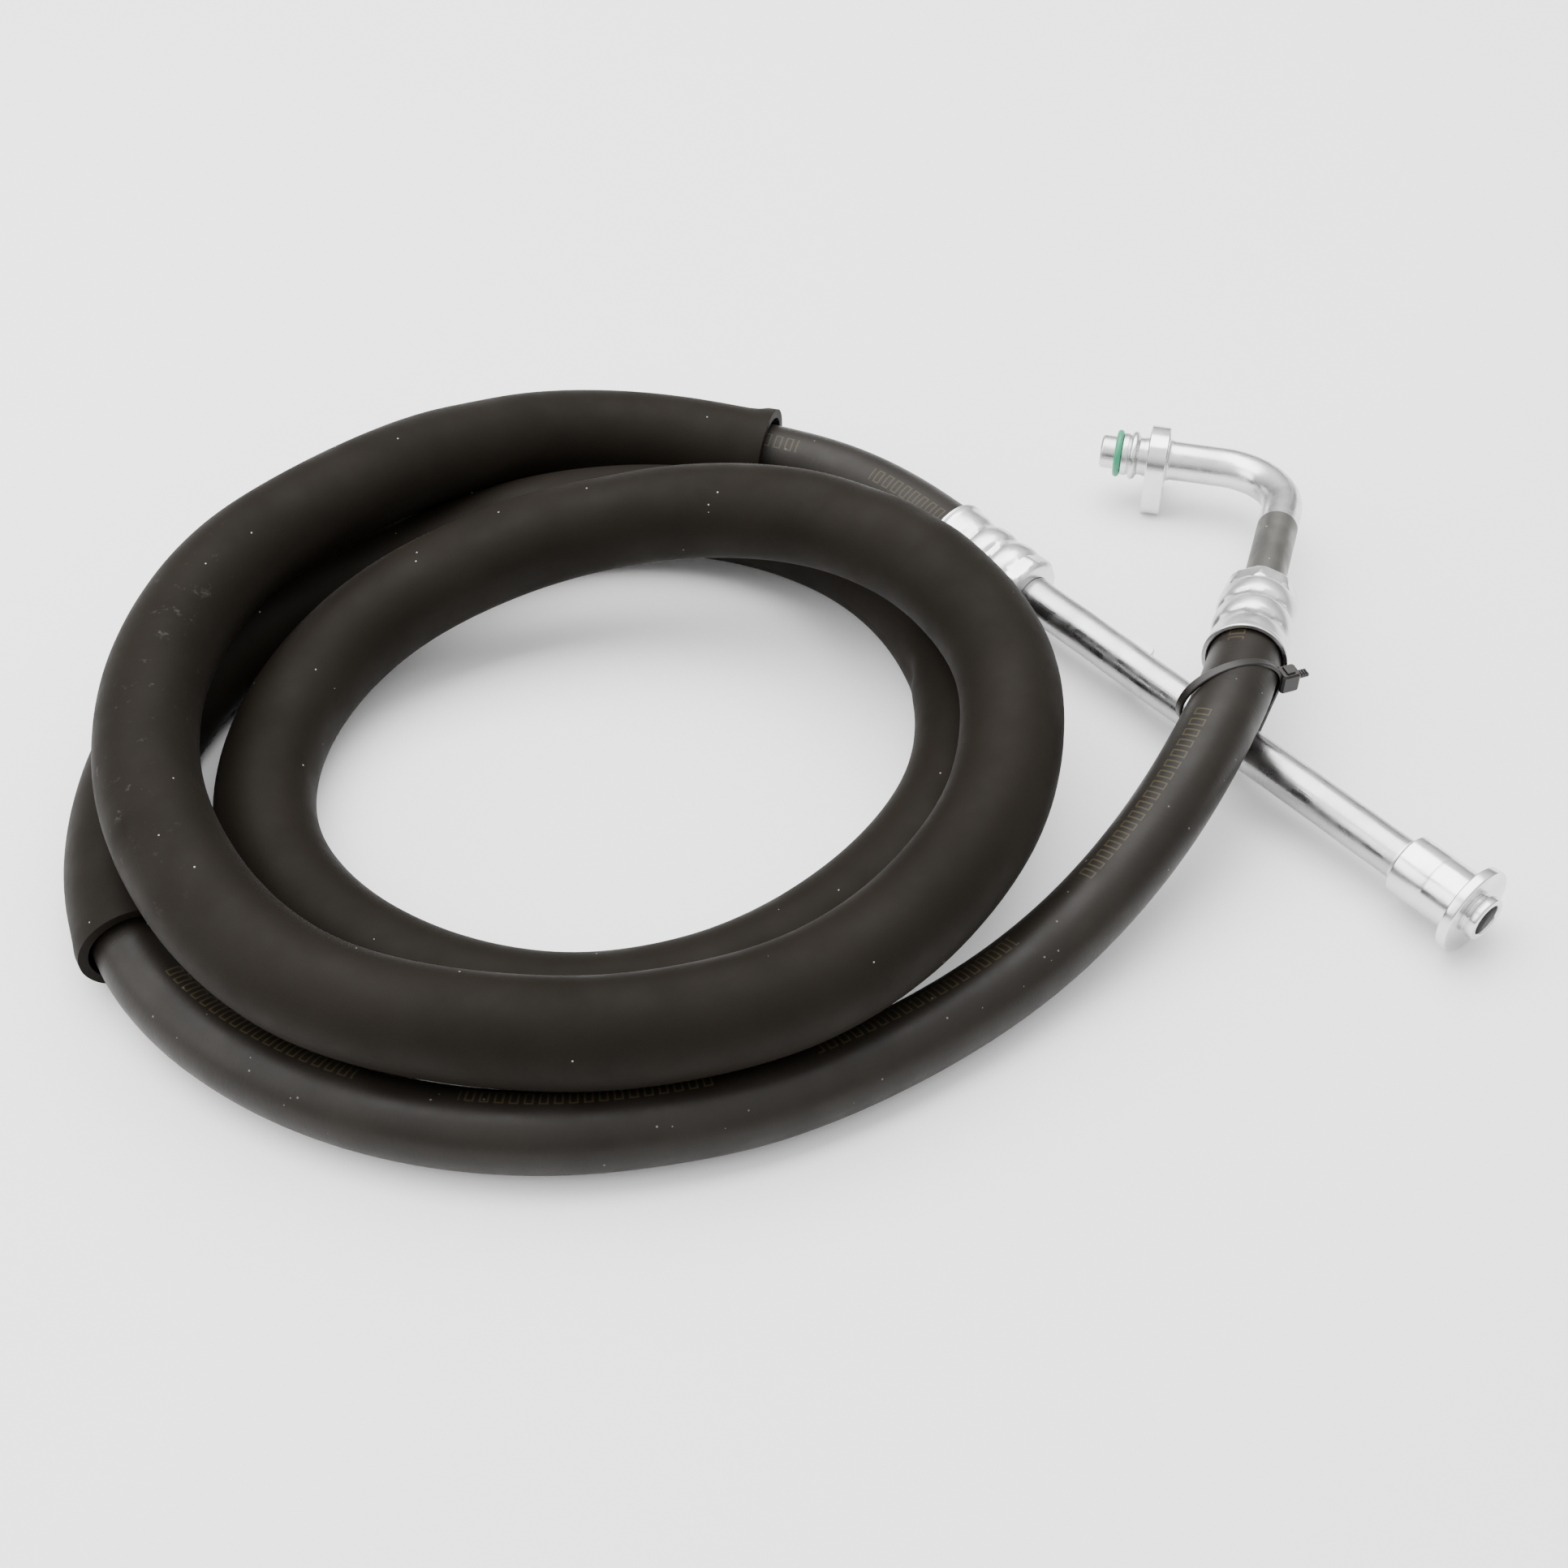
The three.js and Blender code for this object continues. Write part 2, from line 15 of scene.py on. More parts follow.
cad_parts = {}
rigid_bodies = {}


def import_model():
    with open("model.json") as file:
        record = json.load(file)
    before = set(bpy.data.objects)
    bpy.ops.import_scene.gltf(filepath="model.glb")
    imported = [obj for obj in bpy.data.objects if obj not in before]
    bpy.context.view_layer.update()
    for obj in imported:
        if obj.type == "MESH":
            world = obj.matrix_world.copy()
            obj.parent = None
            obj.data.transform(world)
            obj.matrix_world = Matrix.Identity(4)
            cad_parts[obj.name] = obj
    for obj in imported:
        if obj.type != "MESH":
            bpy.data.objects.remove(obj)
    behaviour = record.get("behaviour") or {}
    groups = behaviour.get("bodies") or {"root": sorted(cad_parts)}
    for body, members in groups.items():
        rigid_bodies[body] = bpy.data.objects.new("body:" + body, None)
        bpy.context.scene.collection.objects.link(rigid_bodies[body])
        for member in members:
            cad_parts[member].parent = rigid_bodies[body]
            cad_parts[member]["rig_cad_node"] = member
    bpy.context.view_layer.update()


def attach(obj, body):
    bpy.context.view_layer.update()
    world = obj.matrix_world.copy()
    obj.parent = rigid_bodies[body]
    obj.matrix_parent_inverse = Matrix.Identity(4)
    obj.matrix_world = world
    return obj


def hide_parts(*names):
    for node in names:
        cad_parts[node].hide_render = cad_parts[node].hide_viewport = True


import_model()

MM = 0.001
ORIGIN = np.array([1.72, 5.10, 0.0])
UP = np.array([0.0, 0.0, 1.0])
BODY = "root"

# ---- Sizes, in millimetres ----
HOSE_RADIUS = 13.4
HOSE_BORE = 11.2
CRIMPED_RADIUS = 12.4
HOSE_ENGAGEMENT = 40.5
HOSE_RING_STEP = 4.0
INNER_LAYERS = {
    "hose_braid": (10.85, 10.25),
    "hose_inner_tube": (9.9, 8.65),
    "hose_barrier_liner": (8.3, 7.8),
}

SLEEVE_RADIUS = 18.2
SLEEVE_BORE = 14.3
SLEEVE_START = 129.0  # along the hose from its end in the straight ferrule
SLEEVE_END = 545.5  # along the hose from its end in the elbow ferrule

PIPE_RADIUS = 8.0
PIPE_BORE = 6.2
NIPPLE_START = 8.0
NIPPLE_END = 41.2
PIPE_HOLE = 8.15  # the bore of a block or a ferrule round a pipe
BRAZE_BORE = 8.3

STRAIGHT_LIP = np.array([68.0, 107.0, 16.5])
STRAIGHT_HEADING = math.radians(-49.5)
CONNECTOR_START = 231.3
CONNECTOR_DISC = 26.0  # distances from the connector's start
CONNECTOR_FACE = 30.1
CONNECTOR_MOUTH = 35.0
SOCKET_DEPTH = 15.0
LUG_START = 88.0
LUG_SIZE = (12.5, 4.2, 4.5)  # along the pipe, outward, thickness

ELBOW_LIP = np.array([168.8, 9.9, 40.0])
ELBOW_CORNER = np.array([207.9, 139.6, 22.2])
FLANGE_HEADING = math.radians(167.2)
BEND_RADIUS = 26.0
BLOCK_START = 50.5
BLOCK_THICKNESS = 8.0
BLOCK_HALF_WIDTH = 13.0
BLOCK_TOP = 13.0
BLOCK_BOTTOM = -22.0
BLOCK_CORNER = 6.0
BOLT_HOLE_RADIUS = 4.5
BOLT_HOLE_DROP = 14.4
BEAD_START = 4.6  # from the block's face
SHOULDER_START = 6.0  # from the bead
SPIGOT_RADIUS = 6.8
SPIGOT_BORE = 5.2
TIP_DISTANCE = 78.0
O_RING_RADIUS = 8.35
O_RING_SECTION = 1.4

# The tie's loop stands upright round the hose and the pipe, where each is an ellipse: centre across
# and up, half width and half height
TIE_CENTRE = np.array([160.0, -8.8, 0.0])
TIE_HEADING = math.radians(20)
TIE_HOSE = (0.8, 40.6, 19.6, 13.9)
TIE_PIPE = (5.6, 16.5, 9.3, 8.3)
TIE_THICKNESS = 1.2
TIE_WIDTH = 3.4

# The hose's route between its two ferrules, as in the part's source
ROUTE = [
    (42, 134, 17), (18, 149, 18), (-12, 159, 19), (-44, 166, 21), (-77, 162, 27), (-109, 146, 37),
    (-138, 119, 49), (-163, 91, 56.5), (-186, 68, 57.5), (-205, 44, 57.5), (-217, 15, 57),
    (-222, -17, 57), (-220, -47, 57), (-213, -76, 56), (-199, -104, 53.5), (-180, -128, 49.5),
    (-154, -147, 45), (-123, -158, 43), (-91, -163, 42), (-58, -164, 42), (-26, -159, 42.5),
    (4, -149, 43.5), (32, -130, 45.5), (54, -106, 48.5), (71, -77, 52), (79, -45, 55),
    (79, -12, 57), (68, 19, 58), (47, 48, 58), (18, 69, 56.5), (-14, 79, 54), (-49, 82, 50),
    (-83, 78, 45), (-115, 68, 39), (-145, 52, 32.5), (-168, 31, 25), (-183, 1, 20),
    (-187, -34, 18.5), (-180, -66, 18.5), (-162, -93, 18.5), (-137, -114, 18.5),
    (-106, -129, 18.5), (-73, -135, 18.5), (-41, -131, 18.5), (-12, -120, 18.5), (17, -99, 18.5),
    (43, -70, 18.5), (61, -35, 18.5), (67, 2, 18.5), (62, 37, 18.5), (48, 68, 18.5),
    (27, 93, 18.5), (0, 111, 18.5), (-31, 121, 18.5), (-64, 123, 18.5), (-97, 117, 18.5),
    (-129, 103, 18.5), (-160, 85, 18.5), (-190, 65, 18.5), (-212, 41, 18.5), (-226, 13, 18.5),
    (-234, -20, 18.5), (-235, -54, 18.5), (-230, -85, 18.5), (-219, -111, 16), (-203, -131, 14),
    (-182, -149, 13.7), (-157, -164, 13.7), (-129, -175, 13.7), (-99, -181, 13.7),
    (-68, -182, 13.7), (-38, -178, 13.7), (-9, -171, 13.7), (20, -158, 13.7), (48, -141, 13.7),
    (74, -122, 15), (97, -102, 19), (117, -81, 25.5), (133, -61, 32.5), (146, -41, 38.5),
    (156.5, -21.5, 42),
]
STRAIGHT_OUT = 15.0


# ---- Vectors ----
def unit(vector):
    return np.asarray(vector, float) / np.linalg.norm(vector)


def heading(angle):
    return np.array([math.cos(angle), math.sin(angle), 0.0])


STRAIGHT_AXIS = heading(STRAIGHT_HEADING)
ELBOW_AXIS = unit(ELBOW_CORNER - ELBOW_LIP)
FLANGE_AXIS = heading(FLANGE_HEADING)


def to_scene(points):
    return (np.asarray(points, float) + ORIGIN) * MM


# ---- Lines ----
def catmull_rom(points, per_span=12):
    """The curve that part.mjs uses: uniform, with tension 0.5 and mirrored end points."""
    p = np.array(points, float)
    p = np.vstack([2 * p[0] - p[1], p, 2 * p[-1] - p[-2]])
    t = np.linspace(0, 1, per_span, endpoint=False)[:, None]
    spans = []
    for a, b, c, d in zip(p[:-3], p[1:-2], p[2:-1], p[3:]):
        start = (c - a) / 2
        end = (d - b) / 2
        cubic = (2 * b - 2 * c + start + end) * t**3
        square = (3 * c - 3 * b - 2 * start - end) * t**2
        spans.append(cubic + square + start * t + b)
    return np.vstack([*spans, p[-2:-1]])


def lengths_along(line):
    steps = np.linalg.norm(np.diff(line, axis=0), axis=1)
    return np.concatenate([[0.0], np.cumsum(steps)])


def resampled(line, step):
    s = lengths_along(line)
    wanted = np.linspace(0, s[-1], int(round(s[-1] / step)) + 1)
    return np.column_stack([np.interp(wanted, s, line[:, k]) for k in range(3)])


def relaxed(line, passes, held):
    """Evens out small kinks, and leaves the straight stretch at each end as it is."""
    line = line.copy()
    for _ in range(passes):
        inner = (line[:-2] + 2 * line[1:-1] + line[2:]) / 4
        line[1 + held:-1 - held] = inner[held:len(inner) - held]
    return line


def hose_line():
    points = [
        STRAIGHT_LIP + STRAIGHT_AXIS * HOSE_ENGAGEMENT,
        STRAIGHT_LIP,
        STRAIGHT_LIP - STRAIGHT_AXIS * STRAIGHT_OUT,
        *[np.array(p, float) for p in ROUTE],
        ELBOW_LIP - ELBOW_AXIS * STRAIGHT_OUT,
        ELBOW_LIP,
        ELBOW_LIP + ELBOW_AXIS * HOSE_ENGAGEMENT,
    ]
    line = resampled(catmull_rom(points), HOSE_RING_STEP)
    return relaxed(line, 14, int(HOSE_ENGAGEMENT / HOSE_RING_STEP) + 1)


HOSE_LINE = hose_line()
HOSE_S = lengths_along(HOSE_LINE)


def frames_along(line):
    """Unit tangent, side and upward vectors along a line that nowhere runs straight up."""
    tangent = np.gradient(line, axis=0)
    tangent /= np.linalg.norm(tangent, axis=1)[:, None]
    side = np.cross(tangent, UP)
    side /= np.linalg.norm(side, axis=1)[:, None]
    return tangent, side, np.cross(side, tangent)


def round_angles(sides):
    """Angles round a section, where 0 is up and a quarter turn is to the side."""
    return np.arange(sides) * 2 * math.pi / sides


def rays(line, angles):
    """For each point of the line, the directions that leave it at the given angles."""
    _, side, up = frames_along(line)
    across = np.sin(angles)[None, :, None] * side[:, None, :]
    return across + np.cos(angles)[None, :, None] * up[:, None, :]


# ---- Meshes ----
def make_piece(name, points, faces, material, body, replaced=(), uv=None, crease=35):
    mesh = bpy.data.meshes.new(name)
    mesh.from_pydata(to_scene(points).tolist(), [], faces)
    if uv is not None:
        layer = mesh.uv_layers.new(name="surface")
        layer.data.foreach_set("uv", np.asarray(uv, np.float32).ravel())
    mesh.validate()
    mesh.shade_smooth()
    mesh.set_sharp_from_angle(angle=math.radians(crease))
    mesh.materials.append(material)
    piece = bpy.data.objects.new(name, mesh)
    bpy.context.scene.collection.objects.link(piece)
    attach(piece, body)
    if replaced:
        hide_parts(*replaced)
    return piece


def loop_faces(rows, columns, first=0, closed_rows=False):
    """Quads between rows of points, each row a closed ring."""
    faces = []
    for i in range(rows if closed_rows else rows - 1):
        here = first + i * columns
        there = first + ((i + 1) % rows) * columns
        for j in range(columns):
            k = (j + 1) % columns
            faces.append((here + j, here + k, there + k, there + j))
    return faces


def loop_uv(lengths, columns, closed_rows=False):
    """Along a piece in metres, and round it in turns, for the corners of loop_faces."""
    uv = []
    rows = len(lengths)
    for i in range(rows if closed_rows else rows - 1):
        a = lengths[i] * MM
        b = lengths[(i + 1) % rows] * MM
        for j in range(columns):
            v, w = j / columns, (j + 1) / columns
            uv.extend([(a, v), (a, w), (b, w), (b, v)])
    return uv


def shell(line, outer, inner, sides):
    """A thick tube along a line. outer and inner hold a radius for each point and each angle."""
    out = rays(line, round_angles(sides))
    outside = line[:, None, :] + out * outer[:, :, None]
    inside = line[::-1, None, :] + out[::-1] * inner[::-1, :, None]
    points = np.concatenate([outside, inside]).reshape(-1, 3)
    s = lengths_along(line)
    uv = loop_uv(np.concatenate([s, s[::-1]]), sides, closed_rows=True)
    return points, loop_faces(2 * len(line), sides, closed_rows=True), uv


def plain_shell(line, outer, inner, sides):
    ones = np.ones((len(line), sides))
    return shell(line, ones * outer, ones * inner, sides)


def turned(outline, start, axis, segments=72, shape=None):
    """A ring or tube turned from a closed outline of (radius, distance along the axis). shape can
    change the radii: it takes the radius, the distance and the angle."""
    outline = np.array(outline, float)
    side = unit(np.cross(axis, UP))
    up = np.cross(side, axis)
    angles = round_angles(segments)
    radius = np.repeat(outline[:, :1], segments, axis=1)
    if shape:
        radius = shape(radius, outline[:, 1:], angles[None, :])
    out = np.sin(angles)[:, None] * side + np.cos(angles)[:, None] * up
    points = start + axis * outline[:, 1][:, None, None] + out[None] * radius[:, :, None]
    uv = loop_uv(outline[:, 1], segments, closed_rows=True)
    return points.reshape(-1, 3), loop_faces(len(outline), segments, closed_rows=True), uv


def merged(*parts):
    points, faces, uv = [], [], []
    for part_points, part_faces, part_uv in parts:
        first = sum(len(p) for p in points)
        points.append(part_points)
        faces.extend(tuple(first + k for k in face) for face in part_faces)
        uv.extend(part_uv)
    return np.vstack(points), faces, uv


def rounded(outline, radius=0.35, steps=3):
    """The same closed outline with every corner rounded off."""
    points = np.array(outline, float)
    result = []
    for before, here, after in zip(np.roll(points, 1, 0), points, np.roll(points, -1, 0)):
        to_before, to_after = before - here, after - here
        reach = min(radius, np.linalg.norm(to_before) / 2.2, np.linalg.norm(to_after) / 2.2)
        a = here + unit(to_before) * reach
        b = here + unit(to_after) * reach
        for t in np.linspace(0, 1, steps + 1):
            result.append((1 - t) ** 2 * a + 2 * t * (1 - t) * here + t**2 * b)
    return result


# ---- Materials ----
class Look:
    """A procedural material built round one Principled shader."""

    def __init__(self, name, color, roughness, metallic=0.0, specular=0.5):
        self.material = bpy.data.materials.new(name)
        self.material.use_nodes = True
        self.nodes = self.material.node_tree.nodes
        self.links = self.material.node_tree.links
        self.shader = self.nodes["Principled BSDF"]
        self.shader.inputs["Base Color"].default_value = (*color, 1)
        self.shader.inputs["Roughness"].default_value = roughness
        self.shader.inputs["Metallic"].default_value = metallic
        self.shader.inputs["Specular IOR Level"].default_value = specular
        self.normal = None

    def node(self, kind, inputs=None, **settings):
        node = self.nodes.new(kind)
        for key, value in settings.items():
            setattr(node, key, value)
        for key, value in (inputs or {}).items():
            if isinstance(value, bpy.types.NodeSocket):
                self.links.new(value, node.inputs[key])
            else:
                node.inputs[key].default_value = value
        return node

    def link(self, output, socket):
        self.links.new(output, self.shader.inputs[socket])

    def math(self, operation, a, b=0.0, c=0.0):
        inputs = {0: a, 1: b, 2: c}
        return self.node("ShaderNodeMath", inputs, operation=operation).outputs[0]

    def coordinates(self, scale=(1, 1, 1), source="Object"):
        where = self.node("ShaderNodeTexCoord").outputs[source]
        return self.node("ShaderNodeMapping", {"Vector": where, "Scale": scale}).outputs[0]

    def noise(self, scale, detail=3.0, roughness=0.5, vector=None):
        inputs = {"Scale": scale, "Detail": detail, "Roughness": roughness}
        inputs["Vector"] = vector or self.coordinates()
        return self.node("ShaderNodeTexNoise", inputs).outputs["Fac"]

    def between(self, value, low, high, to_low=0.0, to_high=1.0):
        inputs = {"Value": value, "From Min": low, "From Max": high}
        inputs.update({"To Min": to_low, "To Max": to_high})
        return self.node("ShaderNodeMapRange", inputs, clamp=True).outputs[0]

    def mix(self, factor, a, b):
        node = self.nodes.new("ShaderNodeMix")
        node.data_type = "RGBA"
        self.links.new(factor, node.inputs[0])
        for socket, value in ((node.inputs[6], a), (node.inputs[7], b)):
            if isinstance(value, bpy.types.NodeSocket):
                self.links.new(value, socket)
            else:
                socket.default_value = (*value, 1)
        return node.outputs[2]

    def bump(self, height, distance, strength=1.0):
        inputs = {"Height": height, "Distance": distance, "Strength": strength}
        if self.normal:
            inputs["Normal"] = self.normal
        self.normal = self.node("ShaderNodeBump", inputs).outputs["Normal"]
        self.link(self.normal, "Normal")


def specks(look, scale, size, chance):
    """1 on scattered small spots, about one in each cell that passes the chance."""
    cells = look.node("ShaderNodeTexVoronoi", {"Vector": look.coordinates(), "Scale": scale})
    near = look.math("LESS_THAN", cells.outputs["Distance"], size)
    red = look.node("ShaderNodeSeparateColor", {"Color": cells.outputs["Color"]}).outputs[0]
    return look.math("MULTIPLY", near, look.math("LESS_THAN", red, chance))


def surface_uv(look):
    """Distance along the piece in metres, and the share of a turn round it."""
    uv = look.node("ShaderNodeUVMap", uv_map="surface").outputs[0]
    split = look.node("ShaderNodeSeparateXYZ", {"Vector": uv})
    return uv, split.outputs[0], split.outputs[1]


PRINT_PLACE = 0.945  # of a turn round the hose
PRINT_HALF_HEIGHT = 0.036
PRINT_PITCH = 0.0048
PRINT_STROKE = 0.0065


def layline(look, along, turn):
    """1 on rows of small outlined dashes, in groups, printed along the hose as its markings."""
    across = look.math("ABSOLUTE", look.math("SUBTRACT", turn, PRINT_PLACE))
    cell = look.math("FRACT", look.math("DIVIDE", along, PRINT_PITCH))
    off_middle = look.math("ABSOLUTE", look.math("SUBTRACT", cell, 0.42))

    def box(half_height, half_length):
        high = look.math("LESS_THAN", across, half_height)
        return look.math("MULTIPLY", high, look.math("LESS_THAN", off_middle, half_length))

    inside = box(PRINT_HALF_HEIGHT - PRINT_STROKE, 0.2)
    outline = look.math("SUBTRACT", box(PRINT_HALF_HEIGHT, 0.33), inside)
    group = look.math("FRACT", look.math("DIVIDE", along, 0.118))
    return look.math("MULTIPLY", outline, look.math("LESS_THAN", group, 0.7))


def hose_rubber():
    look = Look("hose_rubber", (0.01, 0.008, 0.006), 0.46, specular=0.2)
    uv, along, turn = surface_uv(look)
    printed = look.math("MULTIPLY", layline(look, along, turn), 0.55)
    mottle = look.between(look.noise(40, 4), 0.3, 0.7)
    rubber = look.mix(mottle, (0.008, 0.0062, 0.0045), (0.013, 0.0105, 0.008))
    dusty = look.mix(specks(look, 420, 0.16, 0.05), rubber, (0.10, 0.095, 0.085))
    look.link(look.mix(printed, dusty, (0.06, 0.05, 0.022)), "Base Color")
    look.link(look.between(look.noise(70, 3), 0.3, 0.7, 0.4, 0.52), "Roughness")
    wrap = look.node("ShaderNodeMapping", {"Vector": uv, "Scale": (900, 14, 1)}).outputs[0]
    look.bump(look.noise(1, 2, vector=wrap), 0.0002, 0.35)
    look.bump(look.noise(1400, 3), 0.0001, 0.25)
    return look.material


def foam():
    look = Look("foam", (0.009, 0.007, 0.005), 0.68, specular=0.08)
    mottle = look.between(look.noise(22, 4), 0.3, 0.7)
    skin = look.mix(mottle, (0.0068, 0.0052, 0.0035), (0.0105, 0.0083, 0.006))
    rubbed = look.between(look.noise(160, 6, 0.75), 0.6, 0.74, 0.0, 0.4)
    left = look.node("ShaderNodeSeparateXYZ", {"Vector": look.coordinates()}).outputs
    on_left = look.between(left[0], -0.185, -0.215)
    on_top = look.between(left[2], 0.052, 0.066)
    in_front = look.between(left[1], 0.06, 0.02)
    worn = look.math("MULTIPLY", look.math("MULTIPLY", on_left, on_top), in_front)
    skin = look.mix(look.math("MULTIPLY", rubbed, worn), skin, (0.12, 0.11, 0.10))
    skin = look.mix(specks(look, 300, 0.10, 0.03), skin, (0.30, 0.28, 0.25))
    look.link(skin, "Base Color")
    look.link(look.between(look.noise(55, 3), 0.3, 0.7, 0.55, 0.7), "Roughness")
    look.bump(look.noise(2200, 3), 0.00012, 0.3)
    look.bump(look.noise(90, 3), 0.0004, 0.25)
    return look.material


def aluminium(name, roughness, scratch_scale, shade_tone=1.0):
    """Bright metal with fine lines round it, dull patches and a few small pits. The last argument
    darkens its colour as painted shade, standing in for the darker reflections of bare metal.
    """
    look = Look(name, (0.86, 0.87, 0.88), roughness, metallic=1.0)
    patches = look.between(look.noise(60, 4), 0.35, 0.7)
    light, dull = ((a * shade_tone, b * shade_tone, c * shade_tone)
                   for a, b, c in ((0.9, 0.9, 0.905), (0.76, 0.755, 0.755)))
    look.link(look.mix(patches, light, dull), "Base Color")
    uneven = look.between(look.noise(130, 5), 0.3, 0.7, roughness * 0.75, roughness * 1.4)
    look.link(uneven, "Roughness")
    uv, _, _ = surface_uv(look)
    lines = look.node("ShaderNodeMapping", {"Vector": uv, "Scale": scratch_scale}).outputs[0]
    look.bump(look.noise(1, 3, vector=lines), 0.00012, 0.3)
    look.bump(specks(look, 260, 0.13, 0.12), -0.0003, 0.5)
    look.bump(look.noise(240, 4), 0.0003, 0.2)
    return look.material


DARK_BAND_END = 0.0536  # metres along the elbow pipe, from its ferrule's end wall


def elbow_aluminium():
    """Bare metal with a dull dark zone next to the ferrule and rows of fine bending marks."""
    look = Look("elbow_aluminium", (0.86, 0.87, 0.88), 0.26, metallic=1.0)
    uv, along, turn = surface_uv(look)
    dull = look.math("LESS_THAN", along, DARK_BAND_END)
    patches = look.between(look.noise(60, 4), 0.35, 0.7)
    # These greys sit below the metal's own colour as painted shade, standing in for darker
    # reflections.
    bright = look.mix(patches, (0.7, 0.7, 0.705), (0.58, 0.58, 0.58))
    # The straight run next to the ferrule is coloured a much darker grey with light specks, and
    # made rougher.
    dark_band = look.mix(patches, (0.16, 0.157, 0.145), (0.115, 0.113, 0.105))
    dark_band = look.mix(specks(look, 330, 0.12, 0.05), dark_band, (0.6, 0.6, 0.58))
    off_row = look.math("ABSOLUTE", look.math("SUBTRACT", turn, 0.082))
    in_row = look.between(off_row, 0.022, 0.012)
    tick = look.math("FRACT", look.math("DIVIDE", along, 0.0014))
    marks = look.math("MULTIPLY", in_row, look.math("LESS_THAN", tick, 0.45))
    bent = look.math("GREATER_THAN", along, DARK_BAND_END + 0.004)
    marks = look.math("MULTIPLY", marks, bent)
    marked = look.mix(look.math("MULTIPLY", marks, 0.6), bright, (0.2, 0.2, 0.2))
    look.link(look.mix(dull, marked, dark_band), "Base Color")
    uneven = look.between(look.noise(130, 5), 0.3, 0.7, 0.2, 0.36)
    look.link(look.math("ADD", uneven, look.math("MULTIPLY", dull, 0.16)), "Roughness")
    lines = look.node("ShaderNodeMapping", {"Vector": uv, "Scale": (60, 90, 1)}).outputs[0]
    look.bump(look.noise(1, 3, vector=lines), 0.00012, 0.3)
    look.bump(marks, -0.0002, 0.6)
    look.bump(look.noise(240, 4), 0.0003, 0.2)
    return look.material


def plain_look(name, color, roughness, specular=0.5, bump_scale=900):
    look = Look(name, color, roughness, specular=specular)
    look.bump(look.noise(bump_scale, 3), 0.0001, 0.25)
    return look.material


# Each darkening factor below is painted shade standing in for darker reflections on bare metal; the
# straight pipe is painted darkest.
DRAWN = aluminium("drawn_aluminium", 0.26, (60, 90, 1), 0.52)
ELBOW = elbow_aluminium()
FORMED = aluminium("formed_aluminium", 0.3, (500, 6, 1), 0.8)
MACHINED = aluminium("machined_aluminium", 0.2, (2600, 3, 1), 0.84)
RUBBER = hose_rubber()
FOAM = foam()
GREEN = plain_look("green_rubber", (0.012, 0.24, 0.12), 0.38)
BLACK_NYLON = plain_look("black_nylon", (0.009, 0.007, 0.006), 0.4, specular=0.4)
TEXTILE = plain_look("braid_textile", (0.55, 0.5, 0.4), 0.85)
NYLON = plain_look("liner_nylon", (0.65, 0.6, 0.48), 0.45)
INNER_RUBBER = plain_look("tube_rubber", (0.02, 0.018, 0.016), 0.6)


# ---- The hose ----
def hose_radii(sides):
    """Full size, but squeezed inside both ferrules."""
    from_start = HOSE_S - HOSE_ENGAGEMENT
    from_end = (HOSE_S[-1] - HOSE_ENGAGEMENT) - HOSE_S
    outside = np.minimum(from_start, from_end)
    squeezed = np.clip((outside + 4.5) / 1.5, 0, 1)
    radius = CRIMPED_RADIUS + (HOSE_RADIUS - CRIMPED_RADIUS) * squeezed
    return np.repeat(radius[:, None], sides, axis=1)


def rest_on_table(line, radii, sides, clearance=0.1):
    """Flattens a tube a little where it would reach into the table."""
    down = rays(line, round_angles(sides))[:, :, 2]
    room = np.full_like(radii, np.inf)
    below = down < -0.3
    room[below] = ((line[:, 2:3] - clearance) / -np.minimum(down, -1e-6))[below]
    return np.minimum(radii, room)


def make_hose():
    sides = 40
    radii = rest_on_table(HOSE_LINE, hose_radii(sides), sides)
    bore = np.full_like(radii, HOSE_BORE)
    points, faces, uv = shell(HOSE_LINE, radii, bore, sides)
    hose = make_piece("hose", points, faces, RUBBER, BODY, ["hose_cover"], uv)
    layers = []
    materials = {"hose_braid": (TEXTILE, "textile_braid"),
                 "hose_inner_tube": (INNER_RUBBER, "hose_rubber"),
                 "hose_barrier_liner": (NYLON, "nylon_liner")}
    for node, (outer, inner) in INNER_LAYERS.items():
        material, slot = materials[node]
        points, faces, uv = plain_shell(HOSE_LINE[::2], outer, inner, 24)
        name = node.replace("hose_", "layer_")
        layers.append(make_piece(name, points, faces, material, BODY, [node], uv))
    return hose, layers


# ---- The foam sleeve ----
# Shallow dents and folds in the foam: place on the skin, how wide, and how deep
DENTS = [
    ((28, 68, 74), 13, 1.1),
    ((52, 55, 75), 10, 0.9),
    ((66, 30, 76), 12, 0.7),
    ((10, 66, 72), 9, 0.6),
    ((-70, 92, 62), 16, 0.6),
    ((47, 24, 20), 6, 2.2),
    ((49, 38, 22), 5, 1.8),
    ((-214, -100, 70), 1.8, 2.0),
    ((-130, 150, 58), 20, 0.6),
]


def neighbour_room(line, first, last):
    """How close each ring of the sleeve lies to other turns: direction and room, ring by ring."""
    centres = line[first:last + 1]
    found = [[] for _ in centres]
    for i, centre in enumerate(centres):
        gaps = np.linalg.norm(line - centre, axis=1)
        apart = np.abs(HOSE_S - HOSE_S[first + i]) > 130
        close = np.where(apart & (gaps < 2 * SLEEVE_RADIUS + 1.5))[0]
        for k in close:
            other = SLEEVE_RADIUS if first <= k <= last else HOSE_RADIUS
            room = gaps[k] / 2 if other == SLEEVE_RADIUS else gaps[k] - HOSE_RADIUS
            found[i].append((unit(line[k] - centre), room - 0.08))
    return found


